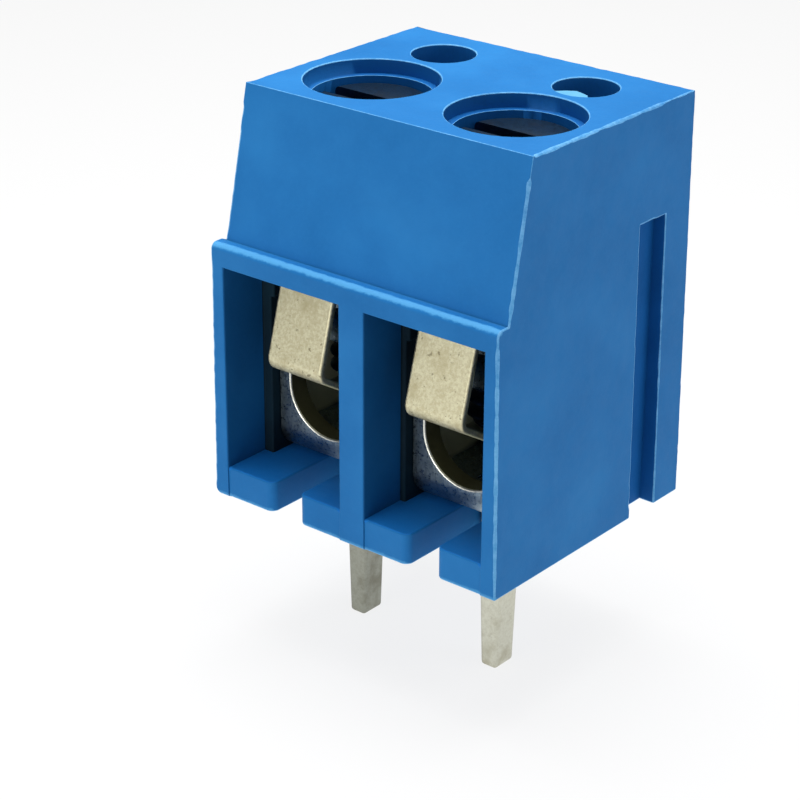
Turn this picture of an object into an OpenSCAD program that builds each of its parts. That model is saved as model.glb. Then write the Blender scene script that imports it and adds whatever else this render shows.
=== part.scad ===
// Two-pole screw terminal for a printed circuit board, 5 mm pitch.
// Each pole has a folded contact with a solder pin, a wire guard and a clamping screw.
// +Z is up, the wires enter from -Y, and the origin lies on the board,
// midway between the two solder pins. Lengths are in millimetres.
// Every depth named "setback" is measured from the front face towards the back.

/* [Housing] */
// Distance between the two poles, centre to centre
pitch = 5; // [4.7:0.1:6.5]
// Depth of the housing from front to back
housing_depth = 8.8; // [8.7:0.1:11]
// Height of the housing above the board
housing_height = 12.2; // [11:0.1:15]
// Width of each wire mouth
mouth_width = 4.1; // [4:0.05:4.3]
// Height of the sill that each contact stands on
sill_height = 0.94; // [0.7:0.02:1.3]
// How far the front of the sill stands back from the front face
sill_setback = 0.04; // [0.02:0.01:0.2]
// Setback of the step where a mouth narrows to its contact's pocket
pocket_setback = 1.6; // [1.5:0.05:1.7]
// Clear height between the top of the contact's collar and the lintel above the mouth
lintel_clearance = 0.71; // [0.5:0.01:1]
// Height of the band above the mouths, up to the ledge
lintel_band = 0.68; // [0.4:0.02:1]
// Setback of the foot of the sloping front, which leaves a ledge
slope_foot_setback = 0.46; // [0.3:0.02:0.6]
// Setback of the top edge of the sloping front
slope_top_setback = 1.37; // [0.9:0.01:1.6]
// Thickness of the sloping wall in front of the wire guards
slope_wall = 0.45; // [0.35:0.01:0.5]
// Radius of the ledge's front edge
ledge_radius = 0.2; // [0.05:0.01:0.3]
// How far the frame of the mouths stands out past the left side
frame_overhang = 0.16; // [0.05:0.01:0.2]
// Moulding draft of the two sides, in degrees, which makes the foot wider than the top
side_draft = 0.6; // [0.2:0.1:1]
// Radius of the lower edge of the left side
foot_radius = 0.2; // [0.05:0.01:0.3]

/* [Holes in the top] */
// Setback of the screws' axes
screw_setback = 3.88; // [3.8:0.01:4]
// Diameter of the counterbore at the mouth of each screw well
well_mouth_diameter = 3.87; // [3.7:0.01:4.1]
// Depth of that counterbore
well_mouth_depth = 0.43; // [0.2:0.01:0.5]
// Diameter of the probe holes behind the screw wells
probe_hole_diameter = 1.88; // [1.2:0.02:2]
// Setback of the probe holes
probe_hole_setback = 7.07; // [6.9:0.01:7.2]

/* [Side rail and groove] */
// Setback of the middle of the groove, and of the rail that fits a neighbour's groove
groove_setback = 6.99; // [6.9:0.01:7.4]
// Width of the groove
groove_width = 1.22; // [0.8:0.01:1.4]
// Depth of the groove
groove_depth = 0.42; // [0.3:0.01:0.5]
// Height of the groove, which is open at the bottom
groove_height = 8.92; // [6:0.02:10]
// Clearance between a rail and its groove, on each face
rail_clearance = 0.08; // [0.04:0.01:0.15]

/* [Underside] */
// Width of the slots that the solder pins pass through
pin_slot_width = 0.98; // [0.9:0.01:1.4]
// Radius of the sill's corners beside the mouths of those slots
sill_corner_radius = 0.25; // [0.1:0.01:0.5]
// Room behind each pin in its slot
pin_slot_tail = 0.5; // [0.2:0.05:0.8]
// Diameter of the round ejector marks
ejector_diameter = 2; // [1:0.1:2.4]
// Setback of the ejector marks behind the pins
rear_mark_setback = 6.8; // [6.2:0.05:7.2]
// Setback of the ejector mark between the poles
front_mark_setback = 1.5; // [1.3:0.05:2]
// Depth of those marks
ejector_depth = 0.1; // [0.05:0.01:0.2]

/* [Contact] */
// Thickness of the contact strip
strip = 0.65; // [0.5:0.01:0.7]
// Width of the contact
contact_width = 3.66; // [3.5:0.01:3.75]
// Length of the contact's cage, front to back
cage_length = 4.1; // [4:0.05:4.2]
// Setback of the contact's front plate
contact_setback = 1.9; // [1.8:0.01:2]
// Clear height inside the cage
cage_clear_height = 3.6; // [3.5:0.01:4]
// Inside radius of the folds
fold_radius = 0.2; // [0.1:0.01:0.25]
// Height of the threaded collar above the cage
collar_height = 0.6; // [0.4:0.01:0.7]
// Wall of the threaded collar
collar_wall = 0.35; // [0.2:0.01:0.4]
// Diameter of the wire hole in the front plate
wire_hole_diameter = 2.84; // [2.5:0.01:3]
// Height of the wire hole's lower edge above the cage's floor
wire_hole_rise = 0.27; // [0.1:0.01:0.4]
// Width of the tab under the probe hole
tab_width = 1.6; // [1.2:0.05:2.4]
// Clearance between the contact and its pocket
pocket_clearance = 0.04; // [0.02:0.01:0.08]
// Cut on each side of the pin where it was sheared out of the floor
shear_width = 0.08; // [0.05:0.01:0.12]

/* [Solder pin] */
// Setback of the middle of the pins
pin_setback = 3.6; // [3.5:0.01:3.7]
// Width of the pin
pin_width = 0.82; // [0.5:0.01:0.85]
// Width of the pin at its tip
pin_tip_width = 0.56; // [0.4:0.01:0.7]
// Thickness of the pin, which is squeezed nearly square below its fold
pin_thickness = 0.85; // [0.65:0.01:0.9]
// Length of the pin below the board's face
pin_length = 4.45; // [3.5:0.05:6]
// Length of the tapered end
pin_taper_length = 3.3; // [0.5:0.1:3.4]

/* [Wire guard] */
// Thickness of the guard strip
guard_strip = 0.2; // [0.15:0.01:0.25]
// Width of the leaf in front of the contact and of the tongue
leaf_width = 2; // [1.6:0.02:2.2]
// Width of the leg that hangs on the screw's neck
leg_width = 3; // [2.8:0.02:3.1]
// How far the leg's fork reaches behind the screw's axis
fork_tail = 0.9; // [0.7:0.05:0.9]
// Radius of the strip's bends, on its centre line
bend_radius = 0.3; // [0.2:0.01:0.35]
// Clearance of the guard's leg in its room
guard_clearance = 0.15; // [0.1:0.01:0.2]
// Clearance of the fork round the screw's neck
neck_clearance = 0.05; // [0.03:0.01:0.1]
// Setback of the fold at the foot of the leaf
guard_fold_setback = 0.42; // [0.3:0.01:0.6]
// Setback of the bend at the top of the leaf, which sets how far the leaf leans back
leaf_top_setback = 2.05; // [1.8:0.05:2.2]
// Slope of the tongue below level, in degrees
tongue_slope = 31; // [28:0.5:32]
// Setback of the bend between the tongue and its flat pad
pad_setback = 3; // [2.9:0.05:3.05]
// Length of the flat pad under the screw
pad_length = 1.9; // [1.6:0.05:2]
// Gap between the pad and the cage's floor as stored
clamp_gap = 1.28; // [1.2:0.01:1.35]
// How far the screw and the guard rise from their stored height
guard_rise = 0.5; // [0.3:0.05:0.6]

/* [Screw] */
// Thread diameter, M2.5 less its running clearance
thread_diameter = 2.44; // [2.3:0.01:2.5]
// Radial clearance of the thread in the contact
thread_clearance = 0.03; // [0.02:0.01:0.06]
// Depth of the head's top below the top of the housing as stored
head_sink = 0.6; // [0.6:0.05:1.2]
// Diameter of the plain neck under the head
neck_diameter = 1.9; // [1.7:0.01:1.96]
// Length of the neck
neck_length = 0.4; // [0.35:0.01:0.5]
// Diameter of the head
head_diameter = 3.3; // [3.1:0.01:3.4]
// Height of the head
head_height = 1.4; // [1.1:0.05:1.6]
// Bevel round the top of the head
head_bevel = 0.15; // [0.05:0.01:0.3]
// Radial clearance of the head in its well
head_clearance = 0.07; // [0.04:0.01:0.1]
// Width of the driver slot
driver_slot_width = 0.6; // [0.5:0.01:0.8]
// Depth of the driver slot
driver_slot_depth = 0.7; // [0.5:0.01:0.9]
// Length of the bevel at the screw's tip
tip_bevel = 0.45; // [0.4:0.01:0.6]

/* [Hidden] */
$fn = 64;
left = -1;
right = 1;
skin = 0.01;            // overrun of a cut past the face it opens
tip_gap = 0.02;         // between the screw's tip and the guard's pad
housing_blue = [0.16, 0.46, 0.77];
tin = [0.80, 0.79, 0.72];
zinc = [0.74, 0.76, 0.79];

housing_width = 2 * pitch;
housing_left = -housing_width / 2;
housing_right = housing_width / 2;
frame_left = housing_left - frame_overhang;
jamb_width = (pitch - mouth_width) / 2;

// Heights that follow the contact
contact_floor_z = sill_height + strip;
cage_roof_z = contact_floor_z + cage_clear_height;
cage_top_z = cage_roof_z + strip;
collar_top_z = cage_top_z + collar_height;
wire_hole_radius = wire_hole_diameter / 2;
wire_hole_z = contact_floor_z + wire_hole_rise + wire_hole_radius;
outer_fold_radius = fold_radius + strip;
pin_fold_setback = pin_setback - strip / 2 - fold_radius;
tab_end_setback = probe_hole_setback + probe_hole_diameter / 2 - pocket_clearance;
cage_back_setback = contact_setback + cage_length;

// Heights that follow the guard and the screw
pad_z = contact_floor_z + clamp_gap;
tip_z = pad_z + guard_strip + tip_gap;
head_z = housing_height - head_sink - head_height;
neck_z = head_z - neck_length;
leg_z = neck_z + (neck_length - guard_strip) / 2;
thread_length = neck_z - tip_z;
neck_slot_radius = neck_diameter / 2 + neck_clearance;

// Housing shape
lintel_z = collar_top_z + lintel_clearance;
ledge_z = lintel_z + lintel_band;
well_radius = head_diameter / 2 + head_clearance;
pocket_width = contact_width + 2 * pocket_clearance;
pin_slot_end = pin_setback + pin_thickness / 2 + pin_slot_tail;
groove_front = groove_setback - groove_width / 2;
rail_width = groove_width - 2 * rail_clearance;
rail_height = groove_height - 2 * rail_clearance;
rail_reach = frame_overhang + groove_depth - rail_clearance;

// The guard's centre line, from the end of the pad to the end of the leg, as [setback, height]
tongue_front = [guard_fold_setback + guard_strip / 2,
                pad_z + guard_strip / 2
                + (pad_setback - guard_fold_setback - guard_strip / 2) * tan(tongue_slope)];
leaf_top = [leaf_top_setback, leg_z + guard_strip / 2];
guard_path = [[pad_setback + pad_length, pad_z + guard_strip / 2],
              [pad_setback, pad_z + guard_strip / 2],
              tongue_front,
              leaf_top,
              [screw_setback - neck_slot_radius - guard_strip, leaf_top[1]]];

// Room for the guard's upper leg above the contact
leg_room_width = max(leg_width, 2 * collar_radius()) + 2 * guard_clearance;
leg_room_back = screw_setback + fork_tail + 2 * guard_clearance;
leg_room_top = leg_z + guard_strip + guard_rise + guard_clearance;

function collar_radius() = thread_diameter / 2 + thread_clearance + collar_wall;
function pole_x(side) = side * pitch / 2;
function side_x(z) = housing_width / 2 + (housing_height / 2 - z) * tan(side_draft);
function slope_setback(z) = slope_foot_setback + (z - ledge_z)
    * (slope_top_setback - slope_foot_setback) / (housing_height - ledge_z);

// Points along a bent strip: each inner corner of the path becomes an arc
function unit(v) = v / norm(v);
function side_of(v) = [-v[1], v[0]];
function turn(a, b) = let (c = cross(a, b)) c > 0 ? 1 : -1;
function corner_points(a, b, c, offset_by, radius, steps) =
    let (u = unit(b - a), v = unit(c - b), s = turn(u, v),
         half = acos(u * v) / 2,
         start = b - u * radius * tan(half),
         centre = start + side_of(u) * s * radius)
    [for (i = [0:steps])
        let (angle = s * 2 * half * i / steps,
             arm = -side_of(u) * s * (radius - s * offset_by))
        centre + [arm[0] * cos(angle) - arm[1] * sin(angle),
                  arm[0] * sin(angle) + arm[1] * cos(angle)]];
function strip_edge(path, offset_by, radius, steps) =
    let (last = len(path) - 1)
    concat([path[0] + side_of(unit(path[1] - path[0])) * offset_by],
           [for (k = [1:last - 1])
               each corner_points(path[k - 1], path[k], path[k + 1], offset_by, radius, steps)],
           [path[last] + side_of(unit(path[last] - path[last - 1])) * offset_by]);
function reversed(list) = [for (i = [len(list) - 1:-1:0]) list[i]];

// Puts a profile drawn as (setback, height) upright, and extrudes it along X about the middle
module across(width) {
    translate([-width / 2, 0, 0])
        rotate([90, 0, 90])
            linear_extrude(width) children();
}

// A block given by its middle in X, and by its ranges of setback and height
module block(width, setbacks, heights) {
    translate([-width / 2, setbacks[0], heights[0]])
        cube([width, setbacks[1] - setbacks[0], heights[1] - heights[0]]);
}

// The waste left when a square corner is rounded, with the corner at the origin
module corner_waste(radius) {
    difference() {
        translate([-skin, -skin]) square(radius + skin);
        translate([radius, radius]) circle(radius);
    }
}

// Everything is drawn from the front face and then moved, so that the pins stand on Y = 0
module from_front_face() {
    translate([0, -pin_setback, 0]) children();
}

module housing_outline() {
    polygon([[0, 0], [housing_depth, 0], [housing_depth, housing_height],
             [slope_top_setback, housing_height], [slope_foot_setback, ledge_z], [0, ledge_z]]);
}

// The housing seen from the front, with its left side moved out by a reach.
// A circle rounds the left foot, and the polygon's sides touch it.
module front_outline(reach) {
    foot_x = -side_x(0) - reach + foot_radius * (1 + sin(side_draft)) / cos(side_draft);
    translate([foot_x, foot_radius]) circle(foot_radius);
    polygon([[foot_x, 0],
             [side_x(0), 0],
             [side_x(housing_height), housing_height],
             [-side_x(housing_height) - reach, housing_height],
             [foot_x - foot_radius * cos(side_draft), foot_radius * (1 + sin(side_draft))]]);
}

// Extrudes an outline seen from the front, from the front face backwards
module backwards(depth) {
    translate([0, depth, 0])
        rotate([90, 0, 0])
            linear_extrude(depth) children();
}

// The solid block of the housing, with the frame's lip on its left side
module housing_block() {
    intersection() {
        across(2 * housing_width) housing_outline();
        backwards(housing_depth) front_outline(0);
    }
    intersection() {
        across(2 * housing_width) square([slope_foot_setback, ledge_z]);
        backwards(slope_foot_setback) front_outline(frame_overhang);
    }
}

// The left mouth reaches out by the same amount, so both outer jambs have one width
module left_mouth_reach() {
    jamb_face = frame_left + jamb_width;
    translate([jamb_face, -skin, sill_height])
        cube([frame_overhang + skin, pocket_setback + skin, lintel_z - sill_height]);
    translate([jamb_face, -skin, -skin])
        cube([frame_overhang + skin, sill_setback + skin, sill_height + 2 * skin]);
}

module side_groove() {
    translate([housing_right - groove_depth, groove_front, -skin])
        cube([2 * groove_depth, groove_width, groove_height + skin]);
}

module side_rail() {
    translate([housing_left - rail_reach, groove_front + rail_clearance, 0])
        cube([rail_reach + foot_radius, rail_width, rail_height]);
}

// The slot in the sill, open at the front, with rounded corners at its mouth
module pin_slot() {
    translate([0, 0, -skin])
        linear_extrude(sill_height + 2 * skin) {
            translate([-pin_slot_width / 2, -skin])
                square([pin_slot_width, pin_slot_end + skin]);
            for (side = [left, right])
                translate([side * pin_slot_width / 2, sill_setback])
                    mirror([side < 0 ? 1 : 0, 0]) corner_waste(sill_corner_radius);
        }
}

// Room for the guard's leg and leaf, with a front that keeps the sloping wall even
module guard_room() {
    across(leg_room_width)
        polygon([[slope_setback(cage_top_z) + slope_wall, cage_top_z],
                 [slope_setback(leg_room_top) + slope_wall, leg_room_top],
                 [leg_room_back, leg_room_top],
                 [leg_room_back, cage_top_z]]);
}

// All the room inside the housing for one pole
module pole_cavity() {
    block(mouth_width, [-skin, pocket_setback], [sill_height, lintel_z]);
    block(mouth_width, [-skin, sill_setback], [-skin, sill_height + skin]);
    block(pocket_width, [pocket_setback - skin, cage_back_setback + pocket_clearance],
          [sill_height, cage_top_z + pocket_clearance]);
    block(tab_width + 2 * pocket_clearance, [cage_back_setback, tab_end_setback + pocket_clearance],
          [cage_roof_z - pocket_clearance, cage_top_z + pocket_clearance]);
    guard_room();
    translate([0, screw_setback, cage_top_z])
        cylinder(r = well_radius, h = housing_height - cage_top_z + skin);
    translate([0, screw_setback, housing_height - well_mouth_depth])
        cylinder(d = well_mouth_diameter, h = well_mouth_depth + skin);
    translate([0, probe_hole_setback, cage_top_z])
        cylinder(d = probe_hole_diameter, h = housing_height - cage_top_z + skin);
    pin_slot();
}

module ejector_marks() {
    marks = [[pole_x(left), rear_mark_setback], [pole_x(right), rear_mark_setback],
             [0, front_mark_setback]];
    for (mark = marks)
        translate([mark[0], mark[1], -skin])
            cylinder(d = ejector_diameter, h = ejector_depth + skin);
}

module housing() {
    color(housing_blue)
        from_front_face()
            difference() {
                union() {
                    housing_block();
                    side_rail();
                }
                // Front edge of the ledge
                translate([0, 0, ledge_z])
                    across(2 * housing_width) mirror([0, 1]) corner_waste(ledge_radius);
                side_groove();
                left_mouth_reach();
                for (side = [left, right])
                    translate([pole_x(side), 0, 0]) pole_cavity();
                ejector_marks();
            }
}

// A quarter of a fold in the strip, bent about the origin, in the first quadrant
module fold() {
    intersection() {
        difference() {
            circle(outer_fold_radius);
            circle(fold_radius);
        }
        square(outer_fold_radius);
    }
}

// The folded strip seen from the side: top plate, front plate, floor and back plate
module cage_profile() {
    front = contact_setback;
    back = cage_back_setback;
    fold_low = sill_height + outer_fold_radius;
    fold_high = cage_top_z - outer_fold_radius;
    translate([front + outer_fold_radius, cage_roof_z])
        square([back - front - outer_fold_radius, strip]);
    translate([front + outer_fold_radius, fold_high]) mirror([1, 0]) fold();
    translate([front, fold_low]) square([strip, fold_high - fold_low]);
    translate([front + outer_fold_radius, fold_low]) rotate(180) fold();
    translate([front + outer_fold_radius, sill_height])
        square([back - front - 2 * outer_fold_radius, strip]);
    translate([back - outer_fold_radius, fold_low]) mirror([0, 1]) fold();
    translate([back - strip, fold_low])
        square([strip, cage_roof_z - pocket_clearance - fold_low]);
}

// The wire hole is round below and runs straight up to the fold above
module wire_hole() {
    top = cage_top_z - outer_fold_radius;
    translate([0, contact_setback - skin, wire_hole_z])
        rotate([-90, 0, 0]) cylinder(r = wire_hole_radius, h = strip + 2 * skin);
    block(wire_hole_diameter, [contact_setback - skin, contact_setback + strip + skin],
          [wire_hole_z, top]);
}

// The pin is cut out of the floor and the back plate and bent down, which leaves a window
module pin_window() {
    block(pin_width + 2 * shear_width, [pin_fold_setback, cage_back_setback + skin],
          [sill_height - skin, contact_floor_z + outer_fold_radius]);
}

// The pin from the side: a stub of the floor, the fold, and the straight pin
module pin_profile() {
    fold_z = sill_height - fold_radius;
    translate([pin_fold_setback - fold_radius, sill_height]) square([fold_radius, strip]);
    translate([pin_fold_setback, fold_z]) fold();
    translate([pin_setback - pin_thickness / 2, -pin_length])
        square([pin_thickness, pin_length + fold_z]);
}

// The pin from the front, narrowing to its tip
module pin_outline() {
    straight = pin_length - pin_taper_length;
    polygon([[-pin_width / 2, contact_floor_z], [-pin_width / 2, -straight],
             [-pin_tip_width / 2, -pin_length], [pin_tip_width / 2, -pin_length],
             [pin_width / 2, -straight], [pin_width / 2, contact_floor_z]]);
}

module solder_pin() {
    intersection() {
        across(pin_width) pin_profile();
        translate([0, pin_setback + strip, 0])
            rotate([90, 0, 0])
                linear_extrude(2 * (strip + fold_radius)) pin_outline();
    }
}

module contact(side) {
    color(tin)
        from_front_face()
            translate([pole_x(side), 0, 0]) {
                difference() {
                    union() {
                        across(contact_width) cage_profile();
                        block(tab_width, [cage_back_setback - strip, tab_end_setback],
                              [cage_roof_z, cage_top_z]);
                        translate([0, screw_setback, cage_top_z - skin])
                            cylinder(r = collar_radius(), h = collar_height + skin);
                    }
                    wire_hole();
                    pin_window();
                    translate([0, screw_setback, cage_roof_z - fold_radius])
                        cylinder(r = thread_diameter / 2 + thread_clearance,
                                 h = fold_radius + strip + collar_height + skin);
                }
                solder_pin();
            }
}

module contact_left() { contact(left); }
module contact_right() { contact(right); }

// The guard: pad, tongue, leaf and a forked leg that hangs in the screw's neck
module wire_guard(side) {
    bend_steps = 6;
    lower_edge = strip_edge(guard_path, -guard_strip / 2, bend_radius, bend_steps);
    upper_edge = strip_edge(guard_path, guard_strip / 2, bend_radius, bend_steps);
    leg_front = leaf_top[0] + bend_radius;
    leg_back = screw_setback + fork_tail;
    color(tin)
        from_front_face()
            translate([pole_x(side), 0, 0])
                difference() {
                    union() {
                        across(leaf_width) polygon(concat(lower_edge, reversed(upper_edge)));
                        block(leg_width, [leg_front, leg_back], [leg_z, leg_z + guard_strip]);
                    }
                    translate([0, screw_setback, leg_z - skin])
                        cylinder(r = neck_slot_radius, h = guard_strip + 2 * skin);
                    block(2 * neck_slot_radius, [screw_setback, leg_back + skin],
                          [leg_z - skin, leg_z + guard_strip + skin]);
                }
}

module wire_guard_left() { wire_guard(left); }
module wire_guard_right() { wire_guard(right); }

// Slotted cheese-head screw with a neck for the guard and a bevelled tip
module screw(side) {
    color(zinc)
        from_front_face()
            translate([pole_x(side), screw_setback, 0])
                difference() {
                    union() {
                        translate([0, 0, tip_z])
                            cylinder(d1 = thread_diameter - 2 * tip_bevel,
                                     d2 = thread_diameter, h = tip_bevel);
                        translate([0, 0, tip_z + tip_bevel])
                            cylinder(d = thread_diameter, h = thread_length - tip_bevel);
                        translate([0, 0, neck_z])
                            cylinder(d = neck_diameter, h = neck_length);
                        translate([0, 0, head_z])
                            cylinder(d = head_diameter, h = head_height - head_bevel);
                        translate([0, 0, head_z + head_height - head_bevel])
                            cylinder(d1 = head_diameter, d2 = head_diameter - 2 * head_bevel,
                                     h = head_bevel);
                    }
                    translate([-head_diameter, -driver_slot_width / 2,
                               head_z + head_height - driver_slot_depth])
                        cube([2 * head_diameter, driver_slot_width, driver_slot_depth + skin]);
                }
}

module screw_left() { screw(left); }
module screw_right() { screw(right); }

housing();
contact_left();
contact_right();
wire_guard_left();
wire_guard_right();
screw_left();
screw_right();
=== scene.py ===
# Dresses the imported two-pole screw terminal: materials, worn edges, screw threads, light and camera.
# The frame is in metres. MM turns millimetres of the part's own frame into metres.
import math
import bmesh
import bpy
from mathutils import Matrix, Vector, noise


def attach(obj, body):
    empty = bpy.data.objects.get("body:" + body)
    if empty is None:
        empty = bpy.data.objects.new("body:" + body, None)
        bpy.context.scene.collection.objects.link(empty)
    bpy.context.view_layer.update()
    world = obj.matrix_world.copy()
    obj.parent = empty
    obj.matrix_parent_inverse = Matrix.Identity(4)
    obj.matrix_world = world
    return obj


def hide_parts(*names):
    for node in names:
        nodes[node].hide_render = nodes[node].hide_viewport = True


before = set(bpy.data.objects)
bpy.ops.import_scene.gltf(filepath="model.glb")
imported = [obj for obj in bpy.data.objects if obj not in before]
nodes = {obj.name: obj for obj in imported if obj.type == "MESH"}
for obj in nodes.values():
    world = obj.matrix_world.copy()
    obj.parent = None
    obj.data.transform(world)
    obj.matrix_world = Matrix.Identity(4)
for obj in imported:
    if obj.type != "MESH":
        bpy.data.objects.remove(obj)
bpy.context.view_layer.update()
scene = bpy.context.scene
MM = 0.001
WELD = 0.0000005               # metres: points nearer than this are one

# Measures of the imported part, in millimetres of its own frame
POLE_X = 2.5                   # the middle of each pole, left and right of 0
SCREW_Y = 0.28                 # the axis of the screws and of their wells
WELL_RADIUS = 1.72
LEDGE_Z = 7.83
WIRE_HOLE_RADIUS = 1.42
WIRE_HOLE_Z = 3.28
CONTACT_FRONT_Y = -1.68        # just behind the front of a contact's front plate
PIN_TOP_Z = 0.3                # below this a contact is only pin
FLOOR_Z = -4.45                # the stage, at the pins' tips
TOUCH = 0.03                   # how near to a curved wall a point counts as on it


# ---------------------------------------------------------------- shader helpers
def new_material(name):
    mat = bpy.data.materials.new(name)
    mat.use_nodes = True
    return mat, mat.node_tree, mat.node_tree.nodes["Principled BSDF"]


def link(tree, a, b):
    tree.links.new(a, b)


def object_coords(tree):
    """Object coordinates in millimetres."""
    coord = tree.nodes.new("ShaderNodeTexCoord")
    scale = tree.nodes.new("ShaderNodeVectorMath")
    scale.operation = "SCALE"
    scale.inputs["Scale"].default_value = 1000.0
    link(tree, coord.outputs["Object"], scale.inputs[0])
    return scale.outputs["Vector"]


def noise_tex(tree, vector, scale, detail=3.0, roughness=0.5):
    n = tree.nodes.new("ShaderNodeTexNoise")
    n.inputs["Scale"].default_value = scale
    n.inputs["Detail"].default_value = detail
    n.inputs["Roughness"].default_value = roughness
    link(tree, vector, n.inputs["Vector"])
    return n.outputs["Fac"]


def ramp(tree, fac, stops):
    r = tree.nodes.new("ShaderNodeValToRGB")
    e = r.color_ramp.elements
    e[0].position, e[0].color = stops[0][0], (*stops[0][1], 1)
    e[1].position, e[1].color = stops[-1][0], (*stops[-1][1], 1)
    for p, c in stops[1:-1]:
        x = e.new(p)
        x.color = (*c, 1)
    link(tree, fac, r.inputs["Fac"])
    return r.outputs["Color"]


def grey_ramp(tree, fac, stops):
    return ramp(tree, fac, [(p, (v, v, v)) for p, v in stops])


def mix(tree, fac, a, b):
    """Blends from a to b, each of them a socket or a colour."""
    m = tree.nodes.new("ShaderNodeMix")
    m.data_type = "RGBA"
    link(tree, fac, m.inputs["Factor"])
    for socket, value in ((m.inputs[6], a), (m.inputs[7], b)):
        if isinstance(value, tuple):
            socket.default_value = (*value, 1)
        else:
            link(tree, value, socket)
    return m.outputs[2]


def bump(tree, bsdf, heights, distances):
    """Lays bumps on one another, each with its own height in metres."""
    previous = None
    for h, d in zip(heights, distances):
        b = tree.nodes.new("ShaderNodeBump")
        b.inputs["Strength"].default_value = 1.0
        b.inputs["Distance"].default_value = d
        link(tree, h, b.inputs["Height"])
        if previous is not None:
            link(tree, previous, b.inputs["Normal"])
        previous = b.outputs["Normal"]
    link(tree, previous, bsdf.inputs["Normal"])


# ---------------------------------------------------------------- materials
SCUFFED = (0.20, 0.48, 0.80)   # the plastic where its edges are scuffed
HIGHLIGHT_BLUE = (0.09, 0.36, 0.68)    # painted highlight colour along the ledge's and the foot's front edges
LIT_TIN = (0.55, 0.55, 0.38)   # the tin's light on the pocket's walls


def near_line(tree, v, y, z, near, far, most=1.0):
    """From most, beside the line along X at y and z, down to 0 at the far distance; v in millimetres."""
    flat = tree.nodes.new("ShaderNodeVectorMath")
    flat.operation = "MULTIPLY"
    flat.inputs[1].default_value = (0.0, 1.0, 1.0)
    link(tree, v, flat.inputs[0])
    away = tree.nodes.new("ShaderNodeVectorMath")
    away.operation = "DISTANCE"
    away.inputs[1].default_value = (0.0, y, z)
    link(tree, flat.outputs["Vector"], away.inputs[0])
    return grey_ramp(tree, away.outputs["Value"], [(near, most), (far, 0.0)])


def painted_edge_highlights(tree, v):
    """Painted highlights, pale wavy lines along the front edges of the ledge and of the foot."""
    shake = tree.nodes.new("ShaderNodeVectorMath")
    shake.operation = "MULTIPLY_ADD"
    shake.inputs[1].default_value = (0.0, 0.13, 0.13)
    link(tree, noise_tex(tree, v, 2.6, 5.0, 0.75), shake.inputs[0])
    link(tree, v, shake.inputs[2])
    both = tree.nodes.new("ShaderNodeMath")
    both.operation = "MAXIMUM"
    shaken = shake.outputs["Vector"]
    link(tree, near_line(tree, shaken, -3.43, 7.86, 0.06, 0.12, 0.8), both.inputs[0])
    link(tree, near_line(tree, shaken, -3.52, 0.04, 0.09, 0.15, 0.6), both.inputs[1])
    return both.outputs["Value"]


def lit_depth_mask(tree, v):
    """Where light falls deep into the pockets, about a line along X.

    A colour ramp ends at 1, so the distances, of up to 2 mm, are scaled down to it.
    """
    shrunk = tree.nodes.new("ShaderNodeVectorMath")
    shrunk.operation = "SCALE"
    shrunk.inputs["Scale"].default_value = 0.25
    link(tree, v, shrunk.inputs[0])
    return near_line(tree, shrunk.outputs["Vector"], 0.0875, 0.8, 0.38, 0.49)


def plastic(name, base, pale, dark, rough, wear=0.0, bumpiness=1.0, painted_highlights=False, lit_depth=False):
    """Moulded plastic: three shades in clouds, a fine grain, and what the arguments add."""
    mat, tree, bsdf = new_material(name)
    v = object_coords(tree)
    cloud = noise_tex(tree, v, 0.35, 4.0, 0.55)
    grain = noise_tex(tree, v, 9.0, 3.0, 0.6)
    colour = ramp(tree, cloud, [(0.3, dark), (0.5, base), (0.72, pale)])
    colour = mix(tree, grey_ramp(tree, grain, [(0.45, 0.0), (0.75, 0.22)]), colour, pale)
    if wear:
        scuff = noise_tex(tree, v, 6.0, 5.0, 0.7)
        colour = mix(tree, grey_ramp(tree, scuff, [(0.35, 0.15), (0.62, wear)]), colour, SCUFFED)
    # painted highlights along the front edges of the ledge and of the foot
    if painted_highlights:
        colour = mix(tree, painted_edge_highlights(tree, v), colour, HIGHLIGHT_BLUE)
    if lit_depth:
        colour = mix(tree, lit_depth_mask(tree, v), colour, LIT_TIN)
    link(tree, colour, bsdf.inputs["Base Color"])
    link(tree, grey_ramp(tree, noise_tex(tree, v, 2.0, 4.0, 0.6),
                         [(0.3, rough - 0.06), (0.7, rough + 0.08)]), bsdf.inputs["Roughness"])
    bump(tree, bsdf, [noise_tex(tree, v, 14.0, 4.0, 0.6), noise_tex(tree, v, 1.1, 2.0, 0.5)],
         [0.000004 * bumpiness, 0.00002 * bumpiness])
    bsdf.inputs["Specular IOR Level"].default_value = 0.10
    return mat


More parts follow.
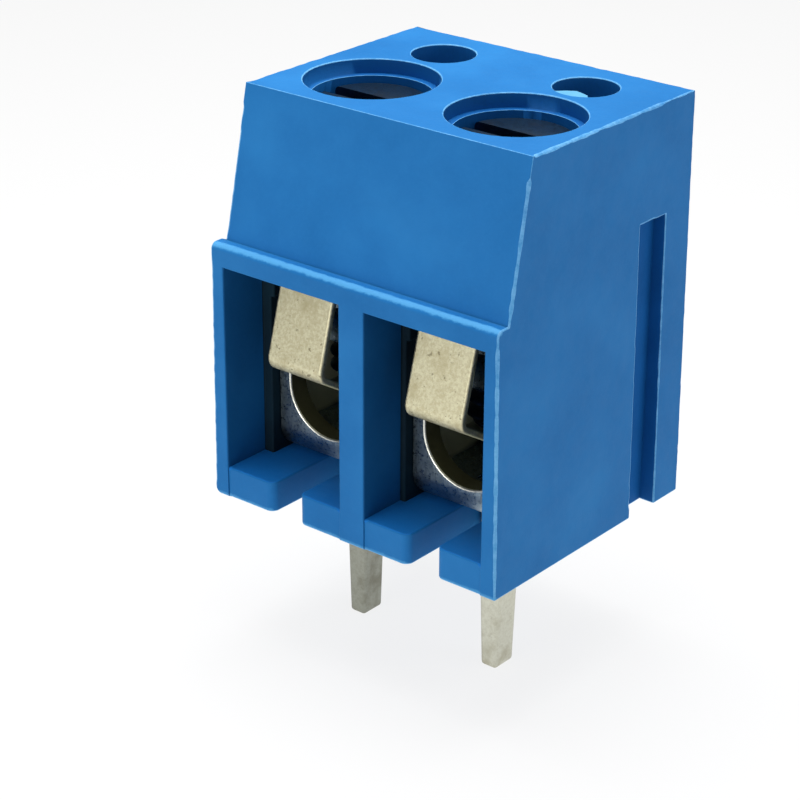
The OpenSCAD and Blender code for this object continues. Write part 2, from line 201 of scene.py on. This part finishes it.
def metal(name, base, warm, dark, rough, speckle=0.0, drawn=0.0, mottle=0.35, relief=1.0):
    """Plated metal: a cloudy base, warm mottle, dark pits, and marks drawn out along Z."""
    mat, tree, bsdf = new_material(name)
    v = object_coords(tree)
    cloud = noise_tex(tree, v, 1.3, 5.0, 0.6)
    colour = ramp(tree, cloud, [(0.3, warm), (0.5, base)])
    fine = noise_tex(tree, v, 11.0, 4.0, 0.7)
    colour = mix(tree, grey_ramp(tree, fine, [(0.40, mottle), (0.60, 0.0)]), colour, warm)
    if speckle:
        pits = noise_tex(tree, v, 7.5, 2.0, 0.5)
        colour = mix(tree, grey_ramp(tree, pits, [(0.27, speckle), (0.345, 0.0)]), colour, dark)
    link(tree, colour, bsdf.inputs["Base Color"])
    bsdf.inputs["Metallic"].default_value = 1.0
    link(tree, grey_ramp(tree, fine, [(0.3, rough - 0.07), (0.7, rough + 0.1)]),
         bsdf.inputs["Roughness"])
    heights, distances = [noise_tex(tree, v, 22.0, 4.0, 0.65)], [0.000006 * relief]
    if drawn:
        stretch = tree.nodes.new("ShaderNodeMapping")
        stretch.inputs["Scale"].default_value = (1.0, 1.0, 0.06)
        link(tree, v, stretch.inputs["Vector"])
        heights.append(noise_tex(tree, stretch.outputs["Vector"], 14.0, 3.0, 0.6))
        distances.append(0.00001 * drawn)
    bump(tree, bsdf, heights, distances)
    return mat


# The housing's own blue, with painted highlight lines along the ledge and the foot
housing_mat = plastic("housing_blue", (0.0130, 0.152, 0.420), (0.018, 0.178, 0.465),
                      (0.010, 0.136, 0.385), 0.5, painted_highlights=True)
# A darker copy of the housing blue: painted shade on the walls inside the mouths
mouth_shade_mat = plastic("housing_blue_mouth_painted_shade", (0.0040, 0.080, 0.245), (0.0060, 0.094, 0.275),
                    (0.003, 0.068, 0.215), 0.6)
# A darker copy of the housing blue: painted shade in the screw wells and the side groove
well_shade_mat = plastic("housing_blue_well_painted_shade", (0.0050, 0.100, 0.340), (0.0070, 0.120, 0.375),
                   (0.004, 0.084, 0.290), 0.6)
# Near black: painted shade deep in the contacts' pockets, with the painted tin light of lit_depth_mask
# near the wire holes
pocket_shade_mat = plastic("housing_pocket_painted_shade", (0.0040, 0.016, 0.028), (0.006, 0.026, 0.042),
                     (0.003, 0.011, 0.019), 0.7, lit_depth=True)
# A more saturated blue on the sill tops: painted bounce light from the blue walls of the mouths
sill_bounce_mat = plastic("housing_blue_sill_painted_bounce", (0.0090, 0.160, 0.520), (0.012, 0.180, 0.560),
                   (0.007, 0.140, 0.470), 0.5)
# Paler blue on the bevelled edges: scuffs and wear, and also a painted highlight along the edges
edge_wear_highlight_mat = plastic("housing_worn_edge_and_highlight", (0.045, 0.26, 0.57), (0.11, 0.38, 0.68),
                   (0.02, 0.18, 0.48), 0.5, wear=0.65, bumpiness=3.0)
# A paler blue for the thin film across the right probe hole
pale_film_mat = plastic("pale_film_plastic", (0.10, 0.34, 0.56), (0.15, 0.40, 0.60),
                    (0.06, 0.25, 0.46), 0.4)
# Tin darkened and tinted blue-grey: a painted reflection of the dark blue walls about the contacts
contact_reflection_mat = metal("tinned_contact", (0.33, 0.41, 0.45), (0.20, 0.26, 0.29), (0.10, 0.12, 0.14),
                    0.30, speckle=0.2, drawn=0.9, mottle=0.6, relief=0.6)
# Dark olive tin: painted shade on the walls of the wire holes
hole_shade_mat = metal("contact_hole_wall_painted_shade", (0.13, 0.13, 0.080), (0.10, 0.10, 0.06),
                 (0.05, 0.05, 0.03), 0.6)
bright_pin_mat = metal("tinned_pin", (0.63, 0.63, 0.53), (0.42, 0.40, 0.30), (0.2, 0.18, 0.12),
                       0.36, speckle=0.2, drawn=1.0)
# A darker copy of the pins' tin: painted shade on the left pin, which stands in the body's shade
shaded_pin_mat = metal("tinned_pin_painted_shade", (0.33, 0.34, 0.29), (0.20, 0.195, 0.15), (0.10, 0.09, 0.06),
                     0.42, speckle=0.2, drawn=1.0)
guard_mat = metal("tinned_guard", (0.67, 0.645, 0.46), (0.46, 0.41, 0.25), (0.20, 0.17, 0.10),
                  0.5, speckle=0.75, mottle=0.7)
# A darker, less metallic copy of the guard's tin: painted shade on the tongue and pad deep in the pocket
tongue_shade_mat = metal("tinned_guard_tongue_painted_shade", (0.40, 0.40, 0.26), (0.34, 0.34, 0.21),
                   (0.2, 0.2, 0.15), 0.7)
tongue_shade_mat.node_tree.nodes["Principled BSDF"].inputs["Metallic"].default_value = 0.3
# Pale tin on the wire holes' front rims: a painted highlight along the rounded punched edge
rim_highlight_mat = metal("tin_edge_painted_highlight", (0.80, 0.80, 0.72), (0.50, 0.50, 0.42),
                (0.3, 0.3, 0.25), 0.35, speckle=0.6)
# Near-black blue-grey zinc: painted shade on the screw heads deep in the wells
screw_shade_mat = metal("zinc_plated_screw_painted_shade", (0.022, 0.055, 0.100), (0.035, 0.050, 0.070),
                  (0.02, 0.02, 0.03), 0.4)


# ---------------------------------------------------------------- mesh helpers
def mesh_of(node):
    """A clean copy of a CAD node's mesh: welded, with flat regions merged."""
    source = nodes[node]
    bm = bmesh.new()
    bm.from_mesh(source.data)
    bmesh.ops.transform(bm, matrix=source.matrix_world, verts=bm.verts)
    bmesh.ops.remove_doubles(bm, verts=bm.verts, dist=WELD)
    bmesh.ops.dissolve_limit(bm, angle_limit=math.radians(0.4), verts=bm.verts, edges=bm.edges,
                             use_dissolve_boundaries=False)
    return bm


def finish_object(name, bm, materials, smooth_angle=30):
    mesh = bpy.data.meshes.new(name)
    bm.normal_update()
    bm.to_mesh(mesh)
    bm.free()
    obj = bpy.data.objects.new(name, mesh)
    scene.collection.objects.link(obj)
    for m in materials:
        mesh.materials.append(m)
    mesh.shade_smooth()
    mesh.set_sharp_from_angle(angle=math.radians(smooth_angle))
    return obj


def weigh_edges(bm, least_angle, attribute, weight):
    """Gives the edges that stand out a bevel weight, kept under the attribute's name."""
    layer = bm.edges.layers.float.new(attribute)
    for e in bm.edges:
        if len(e.link_faces) == 2 and e.calc_face_angle_signed(0.0) > math.radians(least_angle):
            e[layer] = weight((e.verts[0].co + e.verts[1].co) / 2 / MM, e)


def cut_long_edges(bm, least_angle, longest):
    """Divides the long sharp edges, so that their bevel can wander along them."""
    for _ in range(8):
        long = [e for e in bm.edges if e.calc_length() > longest
                and len(e.link_faces) == 2
                and abs(e.calc_face_angle_signed(0.0)) > math.radians(least_angle)]
        if not long:
            break
        bmesh.ops.subdivide_edges(bm, edges=long, cuts=1)


def add_bevel(obj, attribute, width, segments, material=-1, clamp=True):
    bevel = obj.modifiers.new(attribute, "BEVEL")
    bevel.limit_method = "WEIGHT"
    bevel.edge_weight = attribute
    bevel.width = width
    bevel.segments = segments
    bevel.material = material
    bevel.use_clamp_overlap = clamp
    bevel.miter_outer = "MITER_SHARP"


def keep_faces_flat(obj):
    """Lets the large faces set the normals, so that the bevels don't shade across them."""
    weighted = obj.modifiers.new("flat_faces", "WEIGHTED_NORMAL")
    weighted.keep_sharp = True
    weighted.weight = 80


# ---------------------------------------------------------------- housing
bm = mesh_of("housing")
cut_long_edges(bm, 25, 0.16 * MM)
bmesh.ops.dissolve_degenerate(bm, dist=WELD, edges=bm.edges)


def zone(c):
    """Material at a point in millimetres: 0 outside, 2 mouth, 3 well or groove, 4 pocket, 5 sill.
    Materials 2, 3 and 4 are painted shade and 5 is painted bounce light.
    """
    # The groove in the right side takes the wells' painted shade
    if 4.5 < c.x < 4.97 and 2.7 < c.y < 4.05 and c.z < 9:
        return 3
    if abs(c.x) > 4.82 or c.y < -3.57 or c.y > 5.05 or c.z < 0.9 or c.z > 12.17:
        return 0
    if c.z < 0.97:
        return 5
    if c.z > 7.2:
        behind_slope = c.y >= -3.05 + (c.z - LEDGE_Z) * 0.208
        if not behind_slope:
            return 0
        on_well = abs(math.hypot(abs(c.x) - POLE_X, c.y - SCREW_Y) - WELL_RADIUS) <= TOUCH
        return 4 if c.z < 11.5 and c.y < 1.6 and not on_well else 3
    return 4 if c.y > -2.02 else 2


def middle(face):
    return face.calc_center_median() / MM


def outer_edge(c, edge):
    """Whether an edge of the housing is one of those that wear: none of a mouth's own edges."""
    return all(zone(middle(f)) in (0, 3) for f in edge.link_faces)


def wander(c):
    return noise.noise(c * 3.1) * 0.45 + noise.noise(c * 9.0) * 0.45


def wear(c, edge):
    """Bevel weight of an edge. It wanders on straight edges only, since on an arc it would fold."""
    if not outer_edge(c, edge):
        return 0.0
    if 11.5 < c.z < 12.1:
        return 0.10                                  # the step in the wells
    if c.z > 12.1 and abs(c.x) < 4.9 and -2.1 < c.y < 5.0:
        return 0.30                                  # the rims of the wells and of the probe holes
    if c.z > 12.1 and c.y < -2.1:
        return 0.12                                  # the top's front edge
    if c.z < 0.01 and -3.59 < c.y < -3.57:
        return 0.0                                   # the shallow steps beside the sills
    if c.z < 0.45 or (c.y < -3.0 and 7.3 < c.z < 8.1):
        return 0.45                                  # the foot and the ledge, with their roundings
    least, most = (0.10, 0.50) if c.x > 4.9 and c.y > 3.6 else (0.30, 1.0)
    return min(most, max(least, (least + most) / 2 + wander(c) * (most - least)))


for face in bm.faces:
    face.material_index = zone(middle(face))
weigh_edges(bm, 25, "worn", wear)
weigh_edges(bm, 25, "soft", lambda c, e: 0.0 if outer_edge(c, e) else 0.4 if c.z < 0.93 else 1.0)
housing = finish_object("housing_moulding", bm,
                        [housing_mat, edge_wear_highlight_mat, mouth_shade_mat, well_shade_mat, pocket_shade_mat, sill_bounce_mat])
# The worn bevel's faces take material 1, the pale edge blue of wear and painted highlight
add_bevel(housing, "worn", 0.10 * MM, 2, 1, clamp=False)
add_bevel(housing, "soft", 0.05 * MM, 2, clamp=False)
keep_faces_flat(housing)
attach(housing, "terminal")
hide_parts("housing")


# ---------------------------------------------------------------- contacts and guards
def sheet_metal(node, name, body, materials, part, widths, kind):
    """Part gives a face's material and kind an edge's bevel, from their middles in millimetres."""
    bm = mesh_of(node)
    for face in bm.faces:
        face.material_index = part(middle(face))
    for attribute in widths:
        weigh_edges(bm, 35, attribute, lambda c, e: 1.0 if kind(c) == attribute else 0.0)
    obj = finish_object(name, bm, materials)
    for attribute, width in widths.items():
        # The "bright" bevel takes material 1, the painted highlight on the wire holes' front rims
        add_bevel(obj, attribute, width * MM, 3, 1 if attribute == "bright" else -1)
    keep_faces_flat(obj)
    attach(obj, body)
    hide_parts(node)


def on_wire_hole(c):
    """Whether a point lies on a wire hole's wall, which is round below and straight above."""
    across = abs(abs(c.x) - POLE_X)
    round_part = abs(math.hypot(across, c.z - WIRE_HOLE_Z) - WIRE_HOLE_RADIUS) < TOUCH
    return round_part or (c.z > WIRE_HOLE_Z and abs(across - WIRE_HOLE_RADIUS) < TOUCH)


def part_of_contact(c):
    """Material of a point on a contact: 0 strip, 2 wall of the wire hole in painted shade, 3 pin."""
    if c.z < PIN_TOP_Z:
        return 3
    return 2 if CONTACT_FRONT_Y < c.y < -1.07 and on_wire_hole(c) else 0


def contact_edge(c):
    """Bevel of an edge of a contact: the pin's, the wire hole's front rim with its painted highlight, or
    any other.
    """
    if c.z < PIN_TOP_Z:
        return "round"
    return "bright" if c.y < CONTACT_FRONT_Y and on_wire_hole(c) else "soft"


def part_of_guard(c):
    """Material of a point on a wire guard: 0 leaf and fork, 1 tongue and pad, in painted shade."""
    return 1 if c.y > -2.9 and c.z < 5.5 else 0


# The left pin takes the copy of the tin in painted shade
for side, pin_mat in (("left", shaded_pin_mat), ("right", bright_pin_mat)):
    sheet_metal("contact_" + side, "contact_%s_folded" % side, "terminal",
                [contact_reflection_mat, rim_highlight_mat, hole_shade_mat, pin_mat], part_of_contact,
                {"bright": 0.055, "soft": 0.05, "round": 0.14}, contact_edge)
    sheet_metal("wire_guard_" + side, "wire_guard_%s_strip" % side, "guard_" + side,
                [guard_mat, tongue_shade_mat], part_of_guard, {"soft": 0.07}, lambda c: "soft")


# ---------------------------------------------------------------- screws with their threads
PITCH, CREST, ROOT = 0.45, 1.22, 0.97
TIP_Z, NECK_Z, HEAD_Z, TOP_Z = 3.09, 9.80, 10.20, 11.60
TIP_BEVEL = 0.45
RUN_OUT, RUN_OUT_SLOPE = 0.3, 0.9                    # where the thread ends below the neck
SLOT_WIDTH, SLOT_DEPTH, OVERRUN = 0.6, 0.7, 0.1      # the driver slot, and its cutter's overrun
AROUND, ROWS_A_TURN = 48, 10
# The neck and the head from below, as radius and height
UPPER_PROFILE = [(0.95, NECK_Z), (0.95, HEAD_Z), (1.61, HEAD_Z), (1.65, HEAD_Z + 0.04),
                 (1.65, TOP_Z - 0.15), (1.635, TOP_Z - 0.09), (1.59, TOP_Z - 0.03), (1.53, TOP_Z)]


def thread_radius(z, turn):
    """Radius of a right-hand thread at height z and angle turn (in whole turns)."""
    phase = ((z - TIP_Z) / PITCH - turn) % 1.0
    profile = 1 - abs(2 * phase - 1)
    r = ROOT + (CREST - ROOT) * min(1.0, max(0.0, (profile - 0.12) / 0.76))
    at_tip = CREST - TIP_BEVEL + (z - TIP_Z)
    at_neck = CREST - max(0.0, z - (NECK_Z - RUN_OUT)) * RUN_OUT_SLOPE
    return min(r, at_tip, at_neck)


def ring_of(bm, x, z, radius):
    """A ring of points about a screw's axis, with radius as a function of the turn."""
    ring = []
    for k in range(AROUND):
        a = 2 * math.pi * k / AROUND
        r = radius(k / AROUND)
        place = (x + r * math.cos(a), SCREW_Y + r * math.sin(a), z)
        ring.append(bm.verts.new([value * MM for value in place]))
    return ring


def threaded_screw(name, node, body, x):
    bm = bmesh.new()
    rows = int((NECK_Z - TIP_Z) / PITCH * ROWS_A_TURN)
    rings = []
    for i in range(rows + 1):
        z = TIP_Z + (NECK_Z - TIP_Z) * i / rows
        rings.append(ring_of(bm, x, z, lambda turn: thread_radius(z, turn)))
    for r, z in UPPER_PROFILE:
        rings.append(ring_of(bm, x, z, lambda turn: r))
    for low, high in zip(rings, rings[1:]):
        for k in range(AROUND):
            j = (k + 1) % AROUND
            bm.faces.new((low[k], low[j], high[j], high[k]))
    bm.faces.new(list(reversed(rings[0])))
    bm.faces.new(rings[-1])
    bm.normal_update()
    obj = finish_object(name, bm, [screw_shade_mat], 40)

    # The driver slot
    cutter_bm = bmesh.new()
    bmesh.ops.create_cube(cutter_bm, size=1.0)
    slot_z = TOP_Z - SLOT_DEPTH / 2 + OVERRUN / 2
    size = Matrix.Diagonal((4 * MM, SLOT_WIDTH * MM, (SLOT_DEPTH + OVERRUN) * MM, 1))
    bmesh.ops.transform(cutter_bm, verts=cutter_bm.verts,
                        matrix=Matrix.Translation((x * MM, SCREW_Y * MM, slot_z * MM)) @ size)
    cutter = finish_object(name + "_cutter", cutter_bm, [screw_shade_mat])
    cut = obj.modifiers.new("slot", "BOOLEAN")
    cut.operation = "DIFFERENCE"
    cut.solver = "EXACT"
    cut.object = cutter
    depsgraph = bpy.context.evaluated_depsgraph_get()
    baked = bpy.data.meshes.new_from_object(obj.evaluated_get(depsgraph))
    obj.modifiers.clear()
    obj.data = baked
    bpy.data.objects.remove(cutter)
    obj.data.shade_smooth()
    obj.data.set_sharp_from_angle(angle=math.radians(40))
    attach(obj, body)
    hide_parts(node)


threaded_screw("screw_left_threaded", "screw_left", "screw_left", -POLE_X)
threaded_screw("screw_right_threaded", "screw_right", "screw_right", POLE_X)


# ---------------------------------------------------------------- a pale film in the right probe hole
def add_probe_hole_film():
    """A thin pale film across the front of the right probe hole."""
    cx, cy, r = POLE_X, 3.47, 0.935
    top_z, thickness = 12.13, 0.03
    start, end, steps = math.radians(230), math.radians(309), 20
    turns = [start + (end - start) * i / steps for i in range(steps + 1)]
    arc = [(cx + r * math.cos(a), cy + r * math.sin(a)) for a in turns]
    # The film's ragged edge, as steps along the hole's right (u) and front (v) seen from the front right
    torn = [(0.0, 0.58), (-0.12, 0.38), (-0.27, 0.17), (-0.55, 0.13)]
    arc += [(cx + 0.773 * u + 0.634 * v, cy + 0.634 * u - 0.773 * v) for u, v in torn]
    bm = bmesh.new()
    low = [bm.verts.new((x * MM, y * MM, (top_z - thickness) * MM)) for x, y in arc]
    high = [bm.verts.new((x * MM, y * MM, top_z * MM)) for x, y in arc]
    bm.faces.new(list(reversed(low)))
    bm.faces.new(high)
    count = len(arc)
    for i in range(count):
        j = (i + 1) % count
        bm.faces.new((low[i], low[j], high[j], high[i]))
    bmesh.ops.recalc_face_normals(bm, faces=bm.faces)
    obj = finish_object("probe_hole_pale_film", bm, [pale_film_mat])
    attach(obj, "terminal")


add_probe_hole_film()


# ---------------------------------------------------------------- floor, light and camera
def stage_floor():
    bm = bmesh.new()
    bmesh.ops.create_grid(bm, x_segments=1, y_segments=1, size=1.5)
    bmesh.ops.translate(bm, verts=bm.verts, vec=(0, 0, FLOOR_Z * MM))
    mat, tree, bsdf = new_material("pale_floor")
    bsdf.inputs["Base Color"].default_value = (0.14, 0.14, 0.14, 1)
    bsdf.inputs["Roughness"].default_value = 1.0
    bsdf.inputs["Specular IOR Level"].default_value = 0.0
    bsdf.inputs["Emission Color"].default_value = (1.0, 1.0, 1.0, 1)
    bsdf.inputs["Emission Strength"].default_value = 0.83
    obj = finish_object("floor", bm, [mat])


def area_light(name, place, target, size, power):
    data = bpy.data.lights.new(name, "AREA")
    data.shape = "RECTANGLE"
    data.size, data.size_y = size[0] * MM, size[1] * MM
    data.energy = power
    obj = bpy.data.objects.new(name, data)
    scene.collection.objects.link(obj)
    obj.location = Vector(place) * MM
    obj.rotation_mode = "QUATERNION"
    obj.rotation_quaternion = ((Vector(target) - Vector(place)) * MM).to_track_quat("-Z", "Y")


stage_floor()
world = bpy.data.worlds.new("studio")
scene.world = world
world.use_nodes = True
world.node_tree.nodes["Background"].inputs["Color"].default_value = (1.0, 1.0, 1.0, 1)
world.node_tree.nodes["Background"].inputs["Strength"].default_value = 0.30
area_light("softbox_top", (-8, 6, 75), (0, 0, 6), (60, 60), 0.085)
area_light("softbox_front", (-6, -80, 8), (0, 0, 5), (40, 30), 0.021)
area_light("softbox_right", (75, 30, 20), (0, 0, 6), (40, 40), 0.013)

scene.view_settings.view_transform = "Standard"

# The camera comes from a perspective fit to the corners and the round holes in the photograph
azimuth, elevation, roll = map(math.radians, (39.373, 24.46, 0.283))
back = Vector((math.sin(azimuth) * math.cos(elevation), -math.cos(azimuth) * math.cos(elevation),
               math.sin(elevation)))
right = Vector((math.cos(azimuth), math.sin(azimuth), 0))
up = back.cross(right)
cam_x = math.cos(roll) * right + math.sin(roll) * up
cam_y = -math.sin(roll) * right + math.cos(roll) * up
camera_data = bpy.data.cameras.new("camera")
camera_data.lens = 108.36
camera_data.sensor_width = 36
camera_data.clip_start, camera_data.clip_end = 0.001, 10
camera = bpy.data.objects.new("camera", camera_data)
scene.collection.objects.link(camera)
camera.matrix_world = Matrix.Translation(Vector((39.035, -49.043, 31.731)) * MM) @ Matrix(
    (cam_x, cam_y, back)).transposed().to_4x4()
scene.camera = camera
